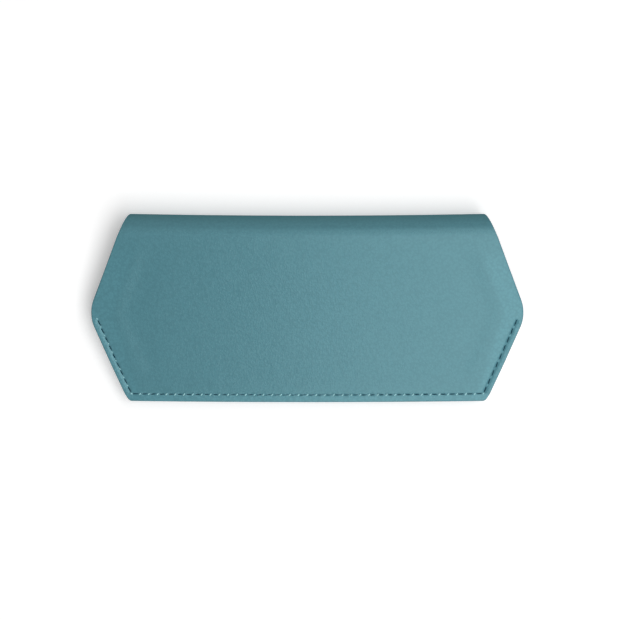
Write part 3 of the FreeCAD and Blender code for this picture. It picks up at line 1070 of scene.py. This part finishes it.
@dataclass(frozen=True)
class StitchShape:
    """One stitch: a short strand that rises out of a hole and dips into the next."""

    length: float = 2.95 * MM
    radius: float = 0.2 * MM
    tip_share: float = 0.55
    rise: float = 0.12 * MM
    dip: float = 0.5 * MM
    lean: float = 0.14 * MM
    squareness: float = 5.0
    sections: int = 8
    sides: int = 6
    twist_length: float = 6.0

    def build(self) -> Piece:
        """Make the strand along X, standing on Z = 0.

        Returns:
            The strand.
        """
        share = np.linspace(0.0, 1.0, self.sections)[:, None]
        across = 2.0 * share - 1.0
        turns = np.linspace(0.0, 2 * math.pi, self.sides, endpoint=False)
        swell = np.sin(np.pi * share) ** 0.5
        radius = self.radius * (self.tip_share + (1.0 - self.tip_share) * swell)
        arch = 1.0 - np.abs(across) ** self.squareness
        y = self.lean * across + radius * np.cos(turns)
        z = arch * (self.dip + self.rise) - self.dip + radius * np.sin(turns)
        x = across / 2 * self.length * np.ones_like(y)
        points = np.stack([x, y, z], axis=-1).reshape(-1, 3)
        ring = np.arange(self.sides)
        after = (ring + 1) % self.sides
        faces = [quad for i in range(self.sections - 1) for quad in np.stack(
            [ring, after, after + self.sides, ring + self.sides], axis=-1)
            + i * self.sides]
        faces += [ring, len(points) - self.sides + ring]
        mesh = bpy.data.meshes.new("stitch")
        mesh.from_pydata(points.tolist(), [], [face.tolist() for face in faces])
        uv = mesh.uv_layers.new(name="UVMap")
        for loop in mesh.loops:
            section, side = divmod(loop.vertex_index, self.sides)
            uv.data[loop.index].uv = (section / self.sections * self.twist_length,
                                      side / self.sides)
        return finish_mesh("stitch", mesh)


@dataclass(frozen=True)
class HoleLip:
    """Leather that stands up beside a needle hole, as a small slanting ridge."""

    size: Point = (0.62 * MM, 0.27 * MM, 0.2 * MM)
    turn: float = math.radians(50)

    def build(self) -> Piece:
        """Make the ridge about the origin.

        Returns:
            The ridge.
        """
        mesh = bpy.data.meshes.new("hole_lip")
        work = bmesh.new()
        bmesh.ops.create_icosphere(work, subdivisions=2, radius=1.0)
        bmesh.ops.scale(work, vec=self.size, verts=work.verts)
        bmesh.ops.rotate(work, cent=(0.0, 0.0, 0.0), verts=work.verts,
                         matrix=Matrix.Rotation(self.turn, 3, "Z"))
        uv = work.loops.layers.uv.new("UVMap")
        for face in work.faces:
            for loop in face.loops:
                loop[uv].uv = (loop.vert.co.x / UV_UNIT, 1.0 + loop.vert.co.y / UV_UNIT)
        work.to_mesh(mesh)
        work.free()
        return finish_mesh("hole_lip", mesh)


class StitchTree(Nodes):
    """Geometry Nodes tree that sets stitches along the legs of a seam."""

    INPUTS = {"Seam": "Geometry", "Pitch": "Float", "Face normal": "Vector",
              "Seed": "Int"}
    LEAST = (0.94, 0.9, 0.92)
    MOST = (1.03, 1.1, 1.08)

    def __init__(self, stitch: Piece, material: bpy.types.Material) -> None:
        """Build the tree.

        Args:
            stitch: strand to repeat.
            material: material of the thread.
        """
        super().__init__(bpy.data.node_groups.new("stitches_along_seam",
                                                  "GeometryNodeTree"))
        face = self.tree.interface
        self.identifiers = {
            name: face.new_socket(name, in_out="INPUT",
                                  socket_type=f"NodeSocket{kind}").identifier
            for name, kind in self.INPUTS.items()}
        face.new_socket("Stitches", in_out="OUTPUT", socket_type="NodeSocketGeometry")
        given = self.node("NodeGroupInput")
        curve = self.node("GeometryNodeMeshToCurve", {"Mesh": given["Seam"]})["Curve"]
        points = self.node("GeometryNodeResampleCurve", {
            "Curve": curve, "Length": given["Pitch"]}, mode="LENGTH")["Curve"]
        upright = self.node("FunctionNodeAlignRotationToVector", {
            "Vector": given["Face normal"]}, axis="Z")["Rotation"]
        along = self.node("FunctionNodeAlignRotationToVector", {
            "Rotation": upright,
            "Vector": self.node("GeometryNodeInputTangent")["Tangent"]},
            axis="X", pivot_axis="Z")["Rotation"]
        uneven = self.node("FunctionNodeRandomValue", {
            "Min": self.LEAST, "Max": self.MOST, "Seed": given["Seed"]},
            data_type="FLOAT_VECTOR")["Value"]
        size = self.node("GeometryNodeInputNamedAttribute", {"Name": "size"},
                         data_type="FLOAT")["Attribute"]
        placed = self.node("GeometryNodeInstanceOnPoints", {
            "Points": points,
            "Instance": self.node("GeometryNodeObjectInfo", {
                "Object": stitch})["Geometry"],
            "Rotation": along,
            "Scale": self.node("ShaderNodeVectorMath", {0: uneven, "Scale": size},
                               operation="SCALE")["Vector"]})["Instances"]
        real = self.node("GeometryNodeRealizeInstances", {"Geometry": placed})
        made = self.node("GeometryNodeSetMaterial", {
            "Geometry": real["Geometry"], "Material": material})
        self.node("NodeGroupOutput", {"Stitches": made["Geometry"]})

    def run(self, name: str, seam: Piece, pitch: float, normal: Point,
            seed: int) -> Piece:
        """Set the stitches of one seam and keep them as a plain mesh.

        Args:
            name: name of the piece.
            seam: mesh whose edges are the seam's legs; it is removed.
            pitch: length of a stitch.
            normal: way out of the leather.
            seed: seed of the small differences.

        Returns:
            The stitches as one mesh object.
        """
        modifier = seam.modifiers.new("stitches", "NODES")
        modifier.node_group = self.tree
        for key, value in (("Pitch", pitch), ("Face normal", normal), ("Seed", seed)):
            modifier[self.identifiers[key]] = value
        bpy.context.view_layer.update()
        seen = seam.evaluated_get(bpy.context.evaluated_depsgraph_get())
        mesh = bpy.data.meshes.new_from_object(seen)
        mesh.name = name
        seam.modifiers.remove(modifier)
        bpy.data.objects.remove(seam)
        return finish_mesh(name, mesh)


@dataclass(frozen=True)
class Seam:
    """One row of stitches on one face of the case."""

    name: str
    node: str
    side: Side
    face: DepthField
    inward: bool
    seed: int
    bends: int = 61
    pitch_share: float = 0.97

    def build(self, plan: CasePlan, tree: StitchTree, sink: float,
              at_holes: bool = False) -> Piece:
        """Lay the stitches, or what stands at their holes, on their face.

        Args:
            plan: shared sizes of the case.
            tree: tree that repeats the stitch.
            sink: how far each one's middle line lies under the face.
            at_holes: set them at the needle holes and not between them.

        Returns:
            The row of stitches.
        """
        points: list[Point] = []
        edges: list[tuple[int, int]] = []
        sizes: list[float] = []
        way = -1.0 if self.inward else 1.0
        legs = plan.seam.legs(plan.outline)
        leg_sizes = plan.seam.lip_sizes if at_holes else plan.seam.stitch_sizes
        for (start, end, count), size in zip(legs, leg_sizes):
            if size == 0.0:
                continue
            step = (end - start) / count * (0.0 if at_holes else 1.0)
            shares = np.linspace(0.0, 1.0, self.bends)
            x, y = (start + step / 2 + np.outer(shares, end - start - step)).T
            depth = self.face(Places(x, y, plan.outline.inset(x, y))) + way * sink
            place_y, place_z = plan.section.place(plan.section.run_at(y, self.side),
                                                  depth)
            first = len(points)
            edges += [(first + i, first + i + 1) for i in range(self.bends - 1)]
            points += np.stack([x, plan.settling.move(x, place_y), place_z],
                               axis=1).tolist()
            sizes += [size] * self.bends
        pitch = min(float(np.linalg.norm(end - start)) / count
                    for start, end, count in legs)
        name = f"{self.name}_lips" if at_holes else self.name
        mesh = bpy.data.meshes.new(name)
        mesh.from_pydata(points, edges, [])
        mesh.attributes.new("size", "FLOAT", "POINT").data.foreach_set("value", sizes)
        lean = plan.section.tilt if self.side is Side.FLAP else math.pi
        normal = (0.0, -way * math.sin(lean), way * math.cos(lean))
        return tree.run(name, linked(f"{name}_line", mesh), pitch * self.pitch_share,
                        normal, self.seed)


# ---------------------------------------------------------------- sub-assemblies

@dataclass(frozen=True)
class Bend:
    """Stretch over which a sheet passes from one body to the next."""

    before: Body
    after: Body
    start: Point
    end: Point


@dataclass(frozen=True)
class Layer:
    """One sheet of a panel: its dressing, its CAD nodes and what carries it."""

    sheet: Sheet
    dressing: Dressing
    nodes: tuple[str, ...]
    carrier: Body | Bend
    board: str = ""


@dataclass(frozen=True)
class Panel:
    """Sheets of one side of the case, each between two fields of depth."""

    plan: CasePlan
    side: Side = Side.BACK

    def bed(self, at: Places) -> Array:
        """Depth of the bed of the stitches."""
        return self.plan.seam.bed(at, self.plan.outline)

    def drop(self, at: Places) -> Array:
        """Fall of the margin, which only the flap has."""
        return np.zeros(at.x.shape)

    def face(self, at: Places) -> Array:
        """Depth of the outer face, without the beds of the stitches."""
        return self.drop(at)

    def hide_outside(self, at: Places) -> Array:
        """Depth of the hide's outer face, dented along the seam."""
        return self.face(at) + self.bed(at)

    def hide_inside(self, at: Places) -> Array:
        """Depth of the hide's flesh side, which takes part of the fall."""
        return self.plan.hide + self.plan.under_share * self.drop(at)

    def lining_outside(self, at: Places) -> Array:
        """Depth of the side of the lining that is glued down."""
        return self.hide_inside(at) + self.plan.board * self.plan.over_board(at)

    def lining_inside(self, at: Places) -> Array:
        """Depth of the lining's open side."""
        return self.lining_outside(at) + self.plan.lining

    def run_at(self, y: float) -> float:
        """Run of a height on the panel's side."""
        return self.plan.section.run_at(y, self.side)

    def sheet(self, name: str, top: float, short: float, outside: DepthField,
              inside: DepthField, **edges: float) -> Sheet:
        """Lay out one sheet down to the foot.

        Args:
            name: name of the piece.
            top: run of its upper end.
            short: how far it ends short of the foot.
            outside: depth of its outer side.
            inside: depth of its inner side.
            edges: how its edges are rounded and trimmed.

        Returns:
            The sheet.
        """
        foot = self.run_at(self.plan.outline.foot_y) - self.side.value * short
        return Sheet(name, self.plan, self.side, top, foot, outside, inside, **edges)

    def layers(self, finishes: Finishes) -> list[Layer]:
        """Lay out the sheets; each panel has its own."""
        raise NotImplementedError

    def build(self, finishes: Finishes) -> list[Piece]:
        """Make and dress the panel's sheets, and tie each sheet that a body carries to
        that body; a sheet over a bend is left where it is.

        For a layer with a board, which is a cloth, the cut it has flat is measured.

        Args:
            finishes: every finish of the case.

        Returns:
            The sheets.
        """
        pieces = []
        for layer in self.layers(finishes):
            piece = layer.dressing.put_on(layer.sheet.build())
            if isinstance(layer.carrier, Bend):
                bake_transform(piece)
            else:
                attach(piece, layer.carrier.value)
            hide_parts(*layer.nodes)
            if layer.board:
                flat, area = layer.sheet.flat_cut()
            pieces.append(piece)
        return pieces


@dataclass(frozen=True)
class FlapPanel(Panel):
    """Flap: hide and lining over the roll, and the facing sewn under its foot."""

    side: Side = Side.FLAP
    bend: Bend = Bend(Body.SPINE, Body.FLAP, start=(0.0, 37.4 * MM, 11.1 * MM),
                      end=(0.0, 26.8 * MM, 19.2 * MM))
    facing: float = 0.7 * MM
    facing_y: float = -3.25 * MM
    facing_round: float = 0.2 * MM
    side_slope: float = 0.13
    slope_ease: float = 3.2 * MM
    held_range: Range = (2.0 * MM, -2.0 * MM)
    foot_slope: float = 0.1
    foot_range: Range = (-3.0 * MM, -2.4 * MM)
    fade: float = 14.0 * MM
    valley: float = 0.12 * MM
    valley_inside: float = 2.6 * MM
    valley_outside: float = 1.3 * MM
    valley_range: Range = (3.0 * MM, -1.0 * MM)
    valley_foot: Range = (1.0 * MM, 4.0 * MM)
    hollow: float = 0.12 * MM
    hollow_inset: float = 14.5 * MM
    hollow_inside: float = 6.5 * MM
    hollow_outside: float = 3.0 * MM
    def beside_seam(self, y: Array, above: float, below: float) -> Array:
        """Ease in from `above` the seam's top end to `below` it."""
        top = self.plan.seam.top_y
        return smooth_step(y, top + above, top + below)

    def drop(self, at: Places) -> Array:
        """Fall of the margin away from the board to the free edges.

        Args:
            at: points of the hide.

        Returns:
            Depths under the plane of the flap.
        """
        plan = self.plan
        sewn = self.beside_seam(at.y, *self.held_range)
        held = np.maximum(plan.side_reach(at), plan.seam.side_inset * sewn)
        sides = self.side_slope * ramp(plan.board_reach(at.y) - held, 0.0,
                                       self.slope_ease)
        sides *= plan.below_flap_top(at.y, 0.0, self.fade)
        foot = self.foot_slope * ramp(plan.outline.foot_y - at.y, *self.foot_range)
        return np.cbrt(sides ** 3 + foot ** 3)

    def face(self, at: Places) -> Array:
        """Shape the hide's outer face, without the beds of the stitches.

        Args:
            at: points of the hide.

        Returns:
            Depths: the margin's fall, the hollow over the board and the valley
            that the seam pulls.
        """
        plan = self.plan
        hollow = bell(at.inset, self.hollow_inset,
                      np.where(at.inset > self.hollow_inset, self.hollow_inside,
                               self.hollow_outside))
        side = plan.side_reach(at) - plan.seam.side_inset
        valley = np.where(side > 0, np.exp(-np.maximum(side, 0.0) / self.valley_inside),
                          bell(side, 0.0, self.valley_outside))
        valley *= self.beside_seam(at.y, *self.valley_range)
        valley *= smooth_step(at.y - plan.outline.foot_y, *self.valley_foot)
        hollow *= plan.below_flap_top(at.y, 0.0, self.fade)
        return self.drop(at) + self.hollow * hollow + self.valley * valley

    def facing_face(self, at: Places) -> Array:
        """Depth of the facing's open side, without the beds of the stitches."""
        return self.lining_outside(at) + self.facing

    def facing_inside(self, at: Places) -> Array:
        """Depth of the facing's open side, dented along the seam."""
        return self.facing_face(at) - self.bed(at)

    def layers(self, finishes: Finishes) -> list[Layer]:
        """Lay out the hide, the lining and the facing.

        Args:
            finishes: every finish of the case.

        Returns:
            The three layers.
        """
        seam = self.run_at(self.facing_y)
        lining_short = self.run_at(self.plan.outline.foot_y) - seam
        return [
            Layer(self.sheet("flap_hide", 0.0, 0.0, self.hide_outside,
                             self.hide_inside), finishes.hide,
                  ("flap_leather", "fold_leather_upper", "fold_leather_middle"),
                  self.bend),
            Layer(self.sheet("flap_inner_lining", 0.0, lining_short,
                             self.lining_outside, self.lining_inside,
                             round_off=CLOTH_ROUND, trim=CUT_SHORT), finishes.nap,
                  ("flap_lining", "fold_lining_upper", "fold_lining_middle"),
                  self.bend, "flap_board"),
            Layer(self.sheet("flap_stitched_facing", seam, CUT_SHORT,
                             self.lining_outside, self.facing_inside,
                             round_off=self.facing_round, trim=CUT_SHORT,
                             free_top=True),
                  finishes.facing, ("flap_facing",), Body.FLAP),
        ]


@dataclass(frozen=True)
class BackPanel(Panel):
    """Back: hide and lining, from the middle of the roll to the foot."""

    bend: Bend = Bend(Body.BACK, Body.SPINE, start=(0.0, 25.8 * MM, 0.0),
                      end=(0.0, 35.2 * MM, 9.4 * MM))

    def layers(self, finishes: Finishes) -> list[Layer]:
        """Lay out the hide and the lining."""
        return [
            Layer(self.sheet("back_hide", 0.0, 0.0, self.hide_outside,
                             self.hide_inside), finishes.hide,
                  ("back_leather", "fold_leather_lower"), self.bend),
            Layer(self.sheet("back_inner_lining", 0.0, CUT_SHORT, self.lining_outside,
                             self.lining_inside, round_off=CLOTH_ROUND,
                             trim=CUT_SHORT), finishes.nap,
                  ("back_lining", "fold_lining_lower"), self.bend, "back_board"),
        ]


@dataclass(frozen=True)
class PocketPanel(Panel):
    """Pocket: leather and lining raised over the back, with a board between."""

    leather: float = 0.9 * MM
    leather_round: float = 0.35 * MM
    leather_trim: float = 0.1 * MM
    mouth_y: float = 1.25 * MM
    mouth_lift: float = 6.2 * MM
    foot_lift: float = 1.3 * MM
    board_from: float = 0.15 * MM
    mouth_side: float = 14.0 * MM
    angle: float = math.radians(8.9)

    def lift(self, at: Places) -> Array:
        """Raise the pocket's hollow from the seam to the mouth.

        Args:
            at: points of the pocket.

        Returns:
            Heights of the hollow.
        """
        plan = self.plan
        foot = plan.outline.foot_y
        top = foot + plan.margin_foot
        up = (at.y - top) / (self.mouth_y - top)
        height = np.where(
            at.y > top, self.foot_lift + (self.mouth_lift - self.foot_lift) * up,
            self.foot_lift * smooth_step(at.y, foot + plan.seam_flat, top))
        reach = plan.margin_side + ((self.mouth_side - plan.margin_side)
                                    * np.clip(up, 0.0, 1.0))
        return height * smooth_step(plan.side_inset(at), plan.seam_flat, reach)

    def lining_low(self, at: Places) -> Array:
        """Height of the lining's under side."""
        return self.plan.hide + self.plan.lining + self.lift(at)

    def lining_high(self, at: Places) -> Array:
        """Height of the lining's upper side."""
        return self.lining_low(at) + self.plan.lining

    def leather_low(self, at: Places) -> Array:
        """Height of the leather's flesh side, over the lining and the board."""
        share = smooth_step(self.lift(at), self.board_from, self.foot_lift)
        return self.lining_high(at) + self.plan.board / math.cos(self.angle) * share

    def leather_high(self, at: Places) -> Array:
        """Height of the leather's outer side, dented along the seam."""
        return self.face(at) - self.bed(at)

    def face(self, at: Places) -> Array:
        """Height of the leather's outer side, without the beds of the stitches."""
        return self.leather_low(at) + self.leather

    def layers(self, finishes: Finishes) -> list[Layer]:
        """Lay out the leather and the lining, from the mouth to the foot."""
        mouth = self.run_at(self.mouth_y)
        return [
            Layer(self.sheet("pocket_panel", mouth, 0.0, self.leather_high,
                             self.leather_low, round_off=self.leather_round,
                             trim=self.leather_trim, free_top=True),
                  finishes.facing, ("pocket_leather",), Body.BACK),
            Layer(self.sheet("pocket_inner_lining", mouth, CUT_SHORT,
                             self.lining_high, self.lining_low,
                             round_off=CLOTH_ROUND, trim=CUT_SHORT, free_top=True),
                  finishes.nap, ("pocket_lining",), Body.BACK, "pocket_board"),
        ]


@dataclass(frozen=True)
class Seams:
    """Every row of stitches of the case."""

    flap: FlapPanel
    pocket: PocketPanel
    back: BackPanel
    lip_sink: float = 0.07 * MM

    def rows(self) -> list[Seam]:
        """The four rows: needle and bobbin thread of two seams."""
        return [
            Seam("flap_stitches", "flap_needle_thread", Side.FLAP, self.flap.face,
                 False, 3),
            Seam("facing_stitches", "flap_bobbin_thread", Side.FLAP,
                 self.flap.facing_face, True, 5),
            Seam("pocket_stitches", "pocket_needle_thread", Side.BACK,
                 self.pocket.face, True, 7),
            Seam("back_stitches", "back_bobbin_thread", Side.BACK, self.back.face,
                 False, 11),
        ]

    def build(self, finishes: Finishes) -> list[Piece]:
        """Make and dress the stitches and the leather standing at their holes, which
        carries a painted highlight.

        Args:
            finishes: every finish of the case.

        Returns:
            The rows.
        """
        plan = self.flap.plan
        stitch, ridge = StitchShape().build(), HoleLip().build()
        threads = StitchTree(stitch, finishes.thread.material)
        # The ridges at the holes take the leather painted with a highlight.
        lips = StitchTree(ridge, finishes.painted_highlight.material)
        pieces = []
        for row in self.rows():
            thread = finishes.thread.put_on(row.build(plan, threads, plan.seam.sink))
            standing = finishes.painted_highlight.put_on(
                row.build(plan, lips, self.lip_sink, at_holes=True))
            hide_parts(row.node)
            for piece in (thread, standing):
                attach(piece, Body[row.side.name].value)
                pieces.append(piece)
        for source in (stitch, ridge):
            bpy.data.objects.remove(source)
        return pieces


class HiddenPieces:
    """Boards and magnets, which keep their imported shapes."""

    BOARDS = ("back_board", "pocket_board", "flap_board")
    MAGNETS = ("pocket_magnet_left", "pocket_magnet_right", "flap_magnet_left",
               "flap_magnet_right")

    def build(self, finishes: Finishes) -> list[Piece]:
        """Give boards and magnets their finishes."""
        return [dressing.put_on(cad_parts[name])
                for names, dressing in ((self.BOARDS, finishes.board),
                                        (self.MAGNETS, finishes.magnet))
                for name in names]


# ---------------------------------------------------------------- studio

@dataclass(frozen=True)
class Softbox:
    """Rectangular studio lamp aimed at the case."""

    name: str
    place: Point
    width: float
    height: float
    power: float
    turn: float = 0.0

    def build(self) -> None:
        """Hang the lamp, square to the fold but for its turn."""
        lamp = bpy.data.lights.new(self.name, "AREA")
        lamp.shape = "RECTANGLE"
        lamp.size, lamp.size_y = self.width, self.height
        lamp.energy = self.power
        holder = linked(self.name, lamp)
        holder.location = self.place
        outward = Vector(self.place).normalized()
        across = Vector((0.0, 1.0, 0.0)).cross(outward).normalized()
        aim = Matrix((across, outward.cross(across), outward)).transposed()
        spin = Matrix.Rotation(self.turn, 3, "Z")
        holder.rotation_euler = (aim @ spin).to_euler()


@dataclass(frozen=True)
class Studio:
    """Pale floor, soft light and the camera straight above."""

    frame_width: float = 0.248
    lens: float = 100.0
    sensor: float = 36.0
    centre: Range = (1.08 * MM, -0.75 * MM)
    top_height: float = 12.0 * MM
    world: float = 0.15
    floor_size: float = 6.0
    floor_drop: float = 0.16 * MM
    floor_tone: float = 0.86
    seen_glow: float = 0.34
    mirrored_glow: float = 0.1
    lamps: tuple[Softbox, ...] = (
        Softbox("wide_softbox", (0.45, -0.43, 1.36), 0.98, 1.6, 9.7),
        Softbox("key_softbox", (0.45, -0.43, 1.36), 0.67, 1.6, 9.0, math.radians(-12)),
        Softbox("upper_softbox", (0.5, 0.65, 1.3), 0.9, 0.7, 3.5),
    )

    def floor(self) -> None:
        """Lay the floor, which shows white where no shadow falls."""
        half = self.floor_size / 2
        mesh = bpy.data.meshes.new("floor")
        mesh.from_pydata([(x * half, y * half, -self.floor_drop)
                          for x, y in ((-1, -1), (1, -1), (1, 1), (-1, 1))], [],
                         [(0, 1, 2, 3)])
        shader = Shader("floor_white")
        path = shader.node("ShaderNodeLightPath")
        mirrored = shader.math("MAXIMUM", path["Is Glossy Ray"],
                               path["Is Transmission Ray"])
        glow = shader.math(
            "ADD", shader.math("MULTIPLY", mirrored, self.mirrored_glow),
            shader.math("MULTIPLY", path["Is Camera Ray"], self.seen_glow))
        shader.settle({
            "Base Color": (self.floor_tone,) * 3,
            "Roughness": 0.9,
            "Specular IOR Level": 0.0,
            "Emission Color": WHITE,
            "Emission Strength": glow,
        })
        mesh.materials.append(shader.material)
        linked("floor", mesh)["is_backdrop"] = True

    def surroundings(self) -> None:
        """Set the even light of the room, white where it is seen."""
        world = bpy.data.worlds.new("studio")
        bpy.context.scene.world = world
        world.use_nodes = True
        room = Nodes(world.node_tree)
        strength = room.node("ShaderNodeMapRange", {
            "Value": room.node("ShaderNodeLightPath")["Is Camera Ray"],
            "To Min": self.world, "To Max": 1.0})["Result"]
        room.feed(world.node_tree.nodes["Background"].inputs,
                  {"Color": WHITE, "Strength": strength})

    def camera(self) -> None:
        """Set the camera straight above the case."""
        data = bpy.data.cameras.new("camera")
        data.lens = self.lens
        data.sensor_width = self.sensor
        camera = linked("camera", data)
        distance = self.frame_width * self.lens / self.sensor
        camera.location = (*self.centre, distance + self.top_height)
        bpy.context.scene.camera = camera

    def build(self) -> None:
        """Set up floor, light and camera."""
        self.floor()
        self.surroundings()
        for lamp in self.lamps:
            lamp.build()
        self.camera()
        bpy.context.scene.view_settings.view_transform = "Standard"


def main() -> None:
    """Build the case and its studio in order, and report each piece."""
    logging.basicConfig(level=logging.INFO)
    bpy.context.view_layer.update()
    Studio().build()
    plan = CasePlan.from_frame()
    finishes = Finishes()
    back, pocket, flap = BackPanel(plan), PocketPanel(plan), FlapPanel(plan)
    for assembly in (back, pocket, flap, Seams(flap, pocket, back), HiddenPieces()):
        for piece in assembly.build(finishes):
            log.info("%s: %d faces", piece.name, len(piece.data.polygons))
    log.info("size written")


if __name__ == "__main__":
    main()
